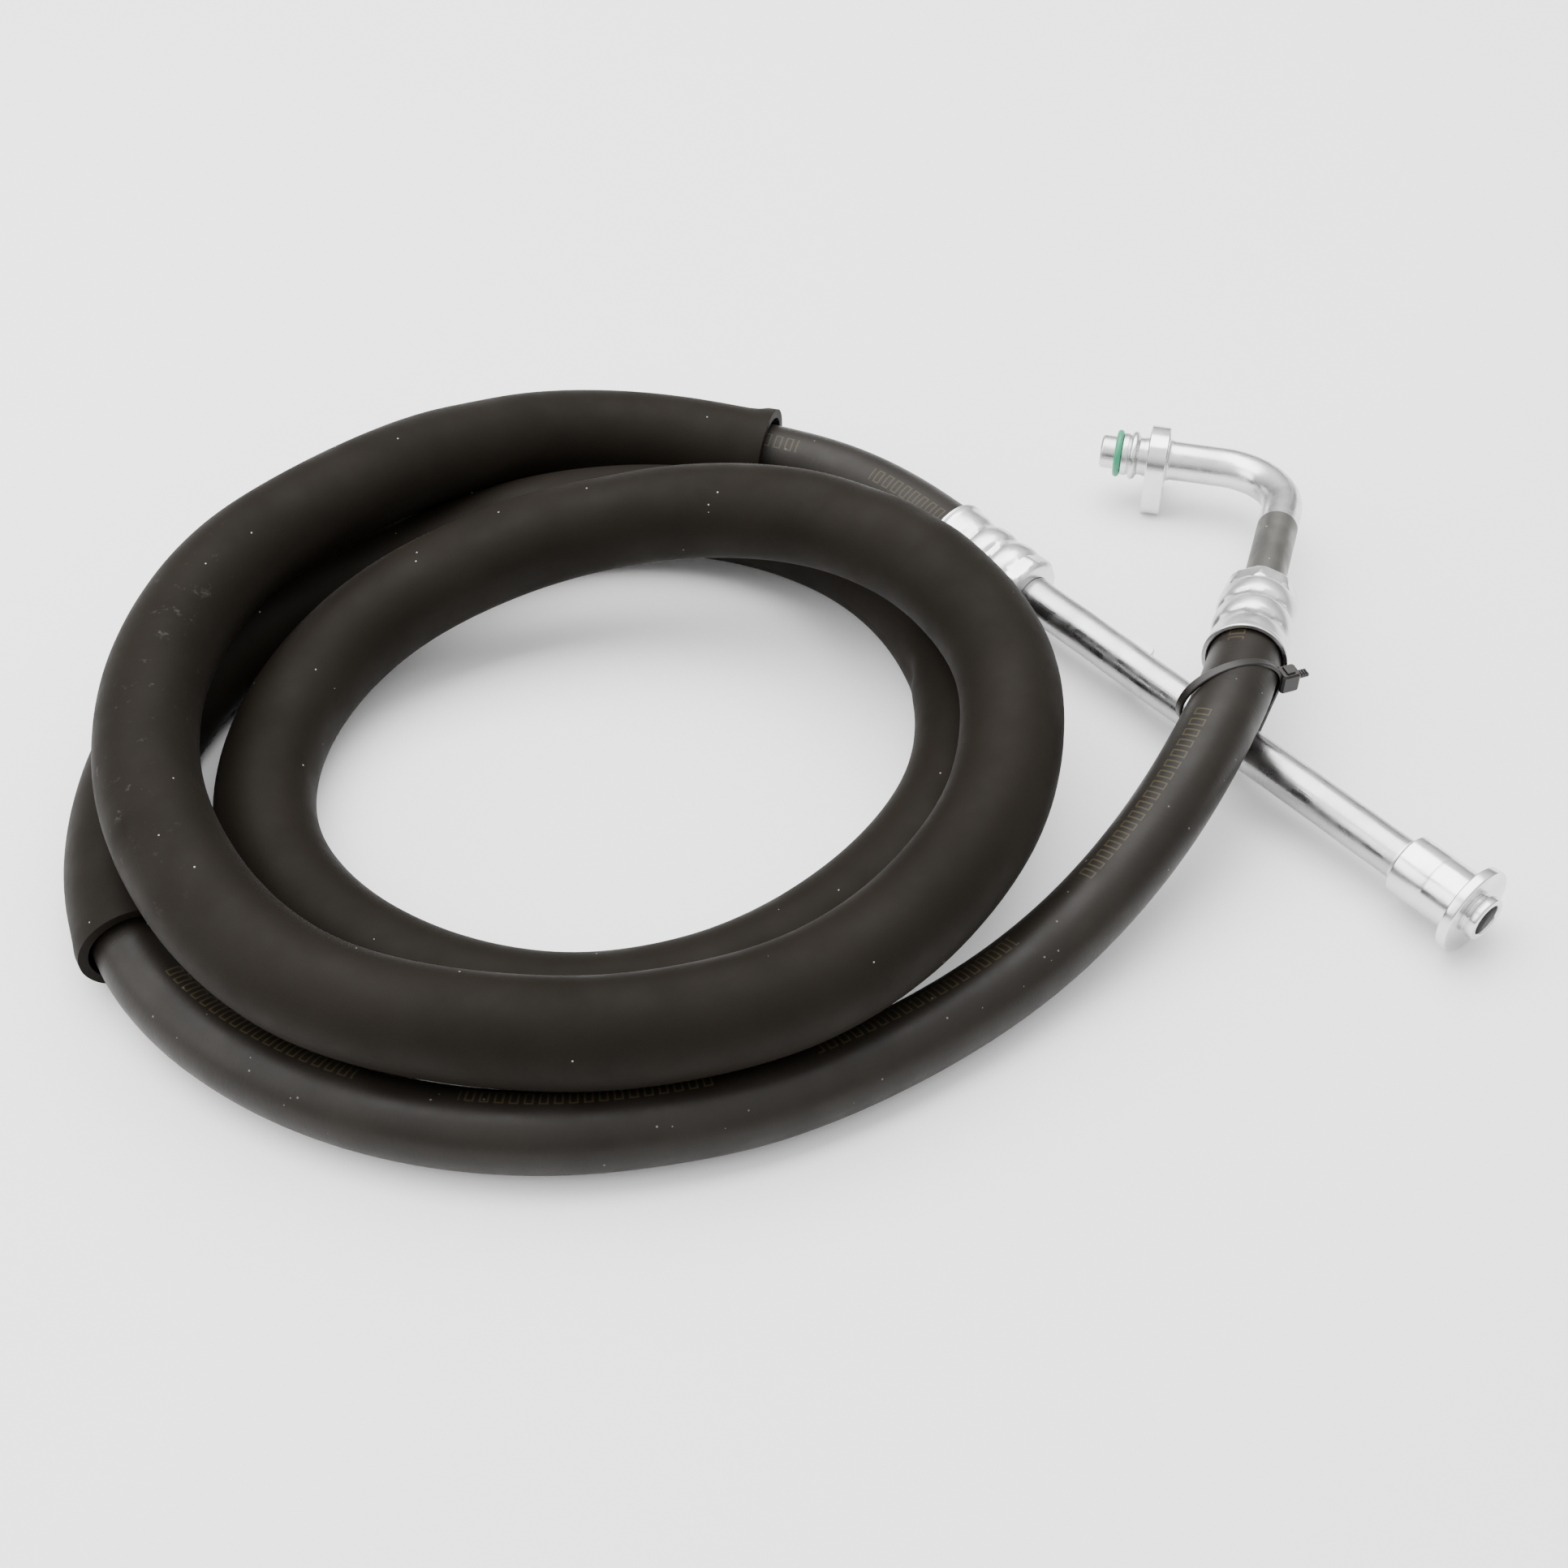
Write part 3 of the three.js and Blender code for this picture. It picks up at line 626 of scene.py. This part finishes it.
def sleeve_radii(line, first, last, sides):
    centres = line[first:last + 1]
    s = HOSE_S[first:last + 1]
    out = rays(line, round_angles(sides))[first:last + 1]
    angles = round_angles(sides)
    slow = 0.16 * np.sin(s / 41.0)[:, None] * np.cos(2 * angles + s[:, None] / 160.0)
    slow += 0.10 * np.sin(s / 17.0 + 1.3)[:, None] * np.cos(3 * angles - s[:, None] / 75.0)
    radii = SLEEVE_RADIUS - 0.1 + slow
    for i, places in enumerate(neighbour_room(line, first, last)):
        for direction, room in places:
            facing = out[i] @ direction
            limit = np.where(facing > 0.2, room / np.maximum(facing, 0.2), np.inf)
            radii[i] = np.minimum(radii[i], limit)
    skin = centres[:, None, :] + out * radii[:, :, None]
    for place, width, depth in DENTS:
        away = np.linalg.norm(skin - np.array(place, float), axis=2)
        radii -= depth * np.exp(-((away / width) ** 2))
    return radii


def make_sleeve():
    sides = 56
    first = int(np.searchsorted(HOSE_S, SLEEVE_START))
    last = int(np.searchsorted(HOSE_S, HOSE_S[-1] - SLEEVE_END))
    outer = sleeve_radii(HOSE_LINE, first, last, sides)
    line = HOSE_LINE[first:last + 1]
    s = HOSE_S[first:last + 1]
    angles = round_angles(sides)
    upper = (1 + np.cos(angles))[None, :] / 2
    from_start = (s - s[0])[:, None]
    from_end = (s[-1] - s)[:, None]
    flare = 2.5 * np.exp(-((from_start / 6.5) ** 2)) * (0.25 + 0.75 * upper)
    flare = flare + 1.5 * np.exp(-((from_end / 7.0) ** 2)) * (0.7 + 0.3 * upper)
    outer = rest_on_table(line, outer + flare, sides)
    inner = np.full_like(outer, SLEEVE_BORE) + 0.9 * flare
    inner = np.minimum(inner, outer - 2.6)
    outer[0] -= 0.5
    outer[-1] -= 0.5
    points, faces, uv = shell(line, outer, inner, sides)
    sleeve = make_piece("sleeve", points, faces, FOAM, BODY, ["foam_sleeve"], uv, 50)
    return sleeve


# ---- Ferrules ----
GROOVES = ((12.3, 14.9), (24.7, 27.3))  # where the dies press deepest
COLLAR = (37.6, 45.0)
GROOVE_RADIUS = 13.9
GROOVE_FLAT = 13.45
COLLAR_FLAT = 13.7


def bulge(start, end):
    """The rounded swell of the shell between two pressed places."""
    t = np.linspace(0, 1, 12)
    swell = 1.15 * (1 - np.abs(2 * t - 1) ** 2.6)
    return list(zip(GROOVE_RADIUS + swell, start + (end - start) * t))


def ferrule_outline():
    entry = HOSE_RADIUS + 0.45
    (a, b), (c, d) = GROOVES
    outline = [(entry, 0.4), (entry + 0.5, 0), (15.5, 0), (15.8, 0.4), (15.8, 1.3), (15.3, 2.0)]
    outline += [(15.05, 2.8), *bulge(-6.0, a)[6:], (GROOVE_RADIUS, (a + b) / 2), *bulge(b, c)]
    outline += [(GROOVE_RADIUS, (c + d) / 2), *bulge(d, COLLAR[0] - 0.6)]
    outline += [(14.45, COLLAR[0]), (14.6, COLLAR[0] + 0.4), (14.6, 42.4), (14.2, 43.4)]
    outline += [(13.0, 44.6), (12.2, 45), (PIPE_HOLE, 45), (PIPE_HOLE, 42), (12.75, 42)]
    return outline + [(12.75, 5), (entry, 3.8)]


def crimp(radius, distance, angle):
    """Eight dies leave flats in the grooves and on the end collar."""
    eighth = math.pi / 4
    from_flat = np.abs(np.mod(angle + 0.12, eighth) - eighth / 2)
    flat = np.full_like(distance, 99.0)
    for start, end in GROOVES:
        flat = np.where((distance > start - 0.5) & (distance < end + 0.5), GROOVE_FLAT, flat)
    flat = np.where((distance > COLLAR[0] - 0.1) & (distance < 43.9), COLLAR_FLAT, flat)
    return np.where(radius > 13.5, np.minimum(radius, flat / np.cos(from_flat)), radius)


def make_ferrule(name, node, lip, axis):
    points, faces, uv = turned(ferrule_outline(), lip, axis, 128, crimp)
    return make_piece(name, points, faces, FORMED, BODY, [node], uv)


# ---- Pipes ----
def nipple_outline():
    outline = [(5.6, NIPPLE_START), (6.45, NIPPLE_START)]
    for barb in (12, 20, 28):
        outline += [(6.55, barb), (7.05, barb + 2.5), (6.55, barb + 3)]
    return outline + [(6.85, NIPPLE_END), (PIPE_RADIUS, NIPPLE_END)]


def make_straight_pipe():
    end = CONNECTOR_START + SOCKET_DEPTH - 0.5
    outer = [(PIPE_RADIUS, float(y)) for y in np.linspace(NIPPLE_END + 2, end, 60)]
    outline = nipple_outline() + outer + [(PIPE_BORE, end), (PIPE_BORE, NIPPLE_END + 1)]
    outline += [(5.6, NIPPLE_END)]

    def uneven(radius, distance, angle):
        wave = 0.05 * np.sin(distance / 9.0 + angle) + 0.04 * np.sin(distance / 3.7 - 2 * angle)
        return np.where(radius > 7.9, radius + wave - 0.05, radius)

    points, faces, uv = turned(outline, STRAIGHT_LIP, STRAIGHT_AXIS, 64, uneven)
    return make_piece("straight_tube", points, faces, DRAWN, BODY,
                      ["straight_pipe"], uv)


def make_connector():
    disc, face, mouth = CONNECTOR_DISC, CONNECTOR_FACE, CONNECTOR_MOUTH
    outline = rounded([
        (8.35, 0), (11.1, 0), (11.5, 0.5), (11.5, 13.1), (11.4, 13.25), (11.4, 13.6),
        (11.5, 13.75), (11.5, disc), (16.1, disc), (16.5, disc + 0.4), (16.5, face - 0.4),
        (16.1, face), (7.45, face), (7.45, face + 1.5), (8.45, face + 1.8), (8.45, mouth - 0.5),
        (8.0, mouth), (6.3, mouth), (5.9, mouth - 0.5), (5.9, SOCKET_DEPTH),
        (8.35, SOCKET_DEPTH),
    ], 0.3)
    start = STRAIGHT_LIP + STRAIGHT_AXIS * CONNECTOR_START
    points, faces, uv = turned(outline, start, STRAIGHT_AXIS, 96)
    return make_piece("connector_end", points, faces, MACHINED, BODY,
                      ["end_connector"], uv)


def make_braze_ring(name, node, start, axis, width, length):
    """A hollow fillet of braze metal that rises towards its far end."""
    hollow = [(BRAZE_BORE + width * t**2, length * (1 - (1 - t) ** 2) if t else 0.0)
              for t in np.linspace(0, 1, 7)]
    back = length + 0.2
    outline = [*hollow, (BRAZE_BORE + width, back), (BRAZE_BORE, back)]

    def lumpy(radius, distance, angle):
        lumps = 0.08 * np.sin(5 * angle + 1) * np.sin(2 * angle)
        return np.where(radius > BRAZE_BORE + 0.2, radius + lumps, radius)

    points, faces, uv = turned(outline, start, axis, 64, lumpy)
    return make_piece(name, points, faces, FORMED, BODY, [node], uv)


def elbow_line():
    turn = math.acos(float(np.dot(ELBOW_AXIS, FLANGE_AXIS)))
    reach = BEND_RADIUS * math.tan(turn / 2)
    start = ELBOW_LIP + ELBOW_AXIS * (NIPPLE_END + 0.2)
    bend_start = ELBOW_CORNER - ELBOW_AXIS * reach
    bend_end = ELBOW_CORNER + FLANGE_AXIS * reach
    inward = unit(FLANGE_AXIS - ELBOW_AXIS * np.dot(FLANGE_AXIS, ELBOW_AXIS))
    centre = bend_start + inward * BEND_RADIUS
    bend = [centre - inward * BEND_RADIUS * math.cos(a) + ELBOW_AXIS * BEND_RADIUS * math.sin(a)
            for a in np.linspace(0, turn, 25)[1:-1]]
    end = ELBOW_CORNER + FLANGE_AXIS * (BLOCK_START + 9.5)
    straight = [start + (bend_start - start) * t for t in np.linspace(0, 1, 30)]
    last = [bend_end + (end - bend_end) * t for t in np.linspace(0, 1, 12)]
    return np.array([*straight, *bend, *last])


def make_elbow():
    sides = 56
    line = elbow_line()
    outer = np.full((len(line), sides), PIPE_RADIUS)
    tube = shell(line, outer, np.full_like(outer, PIPE_BORE), sides)
    nipple = turned(nipple_outline() + [(PIPE_RADIUS, NIPPLE_END + 1), (5.6, NIPPLE_END + 1)],
                    ELBOW_LIP, ELBOW_AXIS, 48)
    bead = BLOCK_START + BLOCK_THICKNESS + BEAD_START
    shoulder = bead + SHOULDER_START
    outline = rounded([
        (SPIGOT_BORE, bead - 5), (7.7, bead - 5), (7.7, bead - 0.8), (9.3, bead), (9.9, bead + 0.7),
        (9.9, bead + 1.9), (9.3, bead + 2.6), (8.1, bead + 3.0), (8.7, bead + 3.8),
        (8.7, shoulder), (SPIGOT_RADIUS, shoulder), (SPIGOT_RADIUS, TIP_DISTANCE - 0.8),
        (6.1, TIP_DISTANCE), (SPIGOT_BORE, TIP_DISTANCE),
    ], 0.3)
    spigot = turned(outline, ELBOW_CORNER, FLANGE_AXIS, 72)
    points, faces, uv = merged(tube, nipple, spigot)
    return make_piece("elbow_tube", points, faces, ELBOW, BODY,
                      ["elbow_pipe"], uv)


# ---- Flange block, lug and O-ring ----
def arc(centre, radius, start, end, steps):
    return [(centre[0] + radius * math.cos(a), centre[1] + radius * math.sin(a))
            for a in np.radians(np.linspace(start, end, steps))]


def inset(loop, distance):
    """The loop moved sideways, to its left for a positive distance."""
    p = np.array(loop, float)
    ahead = np.roll(p, -1, 0) - np.roll(p, 1, 0)
    ahead /= np.linalg.norm(ahead, axis=1)[:, None]
    return p + np.column_stack([-ahead[:, 1], ahead[:, 0]]) * distance


def plate(outer, holes, thickness, bevel, place):
    """A flat plate with holes and bevelled edges. place turns (x, y, depth) into a point."""
    loops = [np.array(outer, float), *[np.array(h, float)[::-1] for h in holes]]
    points, faces = [], []
    top, bottom = [], []
    for loop in loops:
        n = len(loop)
        first = len(points)
        levels = [(inset(loop, bevel), 0), (loop, bevel), (loop, thickness - bevel),
                  (inset(loop, bevel), thickness)]
        for ring, depth in levels:
            points.extend(place(x, y, depth) for x, y in ring)
        faces.extend(loop_faces(4, n, first))
        bottom.append(range(first, first + n))
        top.append(range(first + 3 * n, first + 4 * n))
    for side, flip in ((bottom, True), (top, False)):
        order = [k for ring in side for k in ring]
        flat = [[Vector((*(inset(loop, bevel)[i]), 0)) for i in range(len(loop))] for loop in loops]
        for a, b, c in tessellate_polygon(flat):
            face = (order[a], order[b], order[c])
            faces.append(face[::-1] if flip else face)
    uv = [(points[k][0] * MM, points[k][2] * MM) for face in faces for k in face]
    return np.array(points), faces, uv


def make_block():
    w, t, b, c = BLOCK_HALF_WIDTH, BLOCK_TOP, BLOCK_BOTTOM, BLOCK_CORNER
    outer = [
        *arc((-w + c, b + c), c, 180, 270, 9), *arc((w - c, b + c), c, 270, 360, 9),
        *arc((w - 2 * c, t - 2 * c), 2 * c, 0, 90, 13),
        *arc((-w + 2 * c, t - 2 * c), 2 * c, 90, 180, 13),
    ]
    holes = [arc((0, 0), PIPE_HOLE, 0, 350, 36)]
    holes.append(arc((0, -BOLT_HOLE_DROP), BOLT_HOLE_RADIUS, 0, 350, 36))
    start = ELBOW_CORNER + FLANGE_AXIS * BLOCK_START
    across = np.cross(UP, FLANGE_AXIS)

    def place(x, y, depth):
        return start + across * x + UP * y + FLANGE_AXIS * depth

    points, faces, uv = plate(outer, holes, BLOCK_THICKNESS, 0.4, place)
    return make_piece("flange_plate", points, faces, MACHINED, BODY,
                      ["flange_block"], uv, 25)


def make_lug():
    length, height, thickness = LUG_SIZE
    outer = [(-length / 2, 0), (length / 2, 0), *arc((length / 2 - 3, height - 3), 3, 0, 90, 8),
             *arc((-length / 2 + 1.5, height - 1.5), 1.5, 90, 180, 5)]
    outward = np.array([-STRAIGHT_AXIS[1], STRAIGHT_AXIS[0], 0.0])
    start = STRAIGHT_LIP + STRAIGHT_AXIS * (LUG_START + length / 2) + outward * (PIPE_RADIUS + 0.1)

    def place(x, y, depth):
        return start + STRAIGHT_AXIS * x + outward * y + UP * (depth - thickness / 2)

    points, faces, uv = plate(outer, [], thickness, 0.35, place)
    return make_piece("pipe_lug", points, faces, FORMED, BODY,
                      ["pipe_locating_lug"], uv, 25)


def make_o_ring():
    seat = BLOCK_START + BLOCK_THICKNESS + BEAD_START + SHOULDER_START
    outline = [(O_RING_RADIUS + O_RING_SECTION * math.cos(a),
                seat + 1.6 + O_RING_SECTION * math.sin(a)) for a in round_angles(20)]
    points, faces, uv = turned(outline, ELBOW_CORNER, FLANGE_AXIS, 72)
    return make_piece("seal_ring", points, faces, GREEN, BODY, ["o_ring"], uv)


# ---- Cable tie ----
def bevelled_box(low, high, bevel):
    """Corner points and faces of a box with its edges cut off, as rounded slabs stacked in z."""
    (x0, y0, z0), (x1, y1, z1) = low, high
    loop = [(x0 + bevel, y0), (x1 - bevel, y0), (x1, y0 + bevel), (x1, y1 - bevel),
            (x1 - bevel, y1), (x0 + bevel, y1), (x0, y1 - bevel), (x0, y0 + bevel)]
    middle = np.array([(x0 + x1) / 2, (y0 + y1) / 2])
    small = [tuple(middle + (np.array(p) - middle) * (1 - 1.4 * bevel / max(x1 - x0, y1 - y0)))
             for p in loop]
    points = [(*p, z0) for p in small] + [(*p, z0 + bevel) for p in loop]
    points += [(*p, z1 - bevel) for p in loop] + [(*p, z1) for p in small]
    faces = loop_faces(4, 8) + [tuple(range(7, -1, -1)), tuple(range(24, 32))]
    uv = [(points[k][0] * MM, points[k][1] * MM) for face in faces for k in face]
    return np.array(points, float), faces, uv


def ellipse_arc(ellipse, start, end, steps):
    x, y, half_width, half_height = ellipse
    return [(x + half_width * px, y + half_height * py)
            for px, py in arc((0, 0), 1, start, end, steps)]


def make_tie():
    across = heading(TIE_HEADING)
    through = np.cross(UP, across)
    turn = np.array([across, through, UP])
    loop = ellipse_arc(TIE_HOSE, -10, 205, 60) + ellipse_arc(TIE_PIPE, 211, 347, 36)
    w, t = TIE_WIDTH / 2, TIE_THICKNESS
    section = [(0, -w), (t - 0.3, -w), (t, 0.3 - w), (t, w - 0.3), (t - 0.3, w), (0, w)]
    rings = [np.column_stack([inset(loop, -outward), np.full(len(loop), sideways)])
             for outward, sideways in section]
    strap_points = np.stack(rings, axis=1).reshape(-1, 3)[:, [0, 2, 1]]
    faces = loop_faces(len(loop), len(section), closed_rows=True)
    strap = (strap_points, faces, loop_uv(np.arange(len(loop)), len(section), closed_rows=True))
    side = TIE_HOSE[0] + TIE_HOSE[2]
    up = TIE_HOSE[1]
    parts = [strap, bevelled_box((side + 0.2, -3.3, up - 4.2), (side + 7.6, 3.3, up + 4.2), 0.8)]
    parts.append(bevelled_box((side + 7, -1.7, up + 0.1), (side + 12, 1.7, up + 1.4), 0.3))
    for k in range(4):
        x = side + 7.9 + 1.0 * k
        parts.append(bevelled_box((x, -1.2, up + 1.2), (x + 0.55, 1.2, up + 1.9), 0.15))
    parts.append(bevelled_box((side + 2.2, -2.2, up + 3.9), (side + 5.6, 2.2, up + 4.9), 0.3))
    points, faces, uv = merged(*parts)
    return make_piece("tie_strap", TIE_CENTRE + points @ turn, faces, BLACK_NYLON, BODY,
                      ["cable_tie"], uv, 30)


# ---- Camera, floor and light ----
def make_camera():
    camera = bpy.data.objects.new("camera", bpy.data.cameras.new("camera"))
    camera.location = to_scene([0, -617, 624])
    camera.rotation_euler = (math.radians(44), 0, 0)
    camera.data.lens = 53.57
    camera.data.sensor_width = 36
    camera.data.clip_end = 50
    bpy.context.scene.collection.objects.link(camera)
    bpy.context.scene.camera = camera


def make_floor():
    size = 6.0
    mesh = bpy.data.meshes.new("floor")
    corners = [(-size, -size, 0), (size, -size, 0), (size, size, 0), (-size, size, 0)]
    mesh.from_pydata(corners, [], [(0, 1, 2, 3)])
    mesh.materials.append(Look("floor", (0.93, 0.93, 0.93), 0.75, specular=0.2).material)
    floor = bpy.data.objects.new("floor", mesh)
    bpy.context.scene.collection.objects.link(floor)


def area_light(name, place, target, size, power):
    light = bpy.data.objects.new(name, bpy.data.lights.new(name, "AREA"))
    light.data.shape = "RECTANGLE"
    light.data.size, light.data.size_y = size
    light.data.energy = power
    light.location = place
    light.rotation_euler = (Vector(target) - Vector(place)).to_track_quat("-Z", "Y").to_euler()
    bpy.context.scene.collection.objects.link(light)


def make_light():
    """Soft white light from above, with a greyer horizon that gives bare metal its darker edges."""
    world = bpy.data.worlds.new("studio")
    world.use_nodes = True
    nodes = world.node_tree.nodes
    link = world.node_tree.links.new
    split = nodes.new("ShaderNodeSeparateXYZ")
    link(nodes.new("ShaderNodeTexCoord").outputs["Generated"], split.inputs[0])
    rise = nodes.new("ShaderNodeMapRange")
    for socket, value in (("From Min", 0.0), ("From Max", 0.75), ("To Min", 0.12), ("To Max", 1.9)):
        rise.inputs[socket].default_value = value
    link(split.outputs[2], rise.inputs["Value"])
    link(rise.outputs[0], nodes["Background"].inputs["Strength"])
    nodes["Background"].inputs["Color"].default_value = (1, 1, 1, 1)
    bpy.context.scene.world = world
    area_light("overhead", (-0.2, 0.5, 1.6), (0, 0, 0), (2.2, 1.4), 62)
    area_light("left", (-1.5, -0.3, 0.9), (0, 0, 0), (1.2, 1.2), 20)


# ---- Assembly ----
def clear_defaults():
    for thing in list(bpy.data.objects):
        if "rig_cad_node" not in thing and not thing.name.startswith("body:"):
            bpy.data.objects.remove(thing)


clear_defaults()
make_camera()
make_floor()
make_light()

hose, hose_layers = make_hose()
sleeve = make_sleeve()
make_ferrule("straight_shell", "straight_ferrule", STRAIGHT_LIP, STRAIGHT_AXIS)
make_straight_pipe()
make_lug()
make_connector()
connector_braze = STRAIGHT_LIP + STRAIGHT_AXIS * (CONNECTOR_START - 1.8)
make_braze_ring("connector_fillet", "connector_braze_ring", connector_braze, STRAIGHT_AXIS,
                1.3, 1.6)
make_ferrule("elbow_shell", "elbow_ferrule", ELBOW_LIP, ELBOW_AXIS)
make_elbow()
flange_braze = ELBOW_CORNER + FLANGE_AXIS * (BLOCK_START - 1.7)
make_braze_ring("flange_fillet", "flange_braze_ring", flange_braze, FLANGE_AXIS, 1.2, 1.5)
make_block()
make_o_ring()
make_tie()
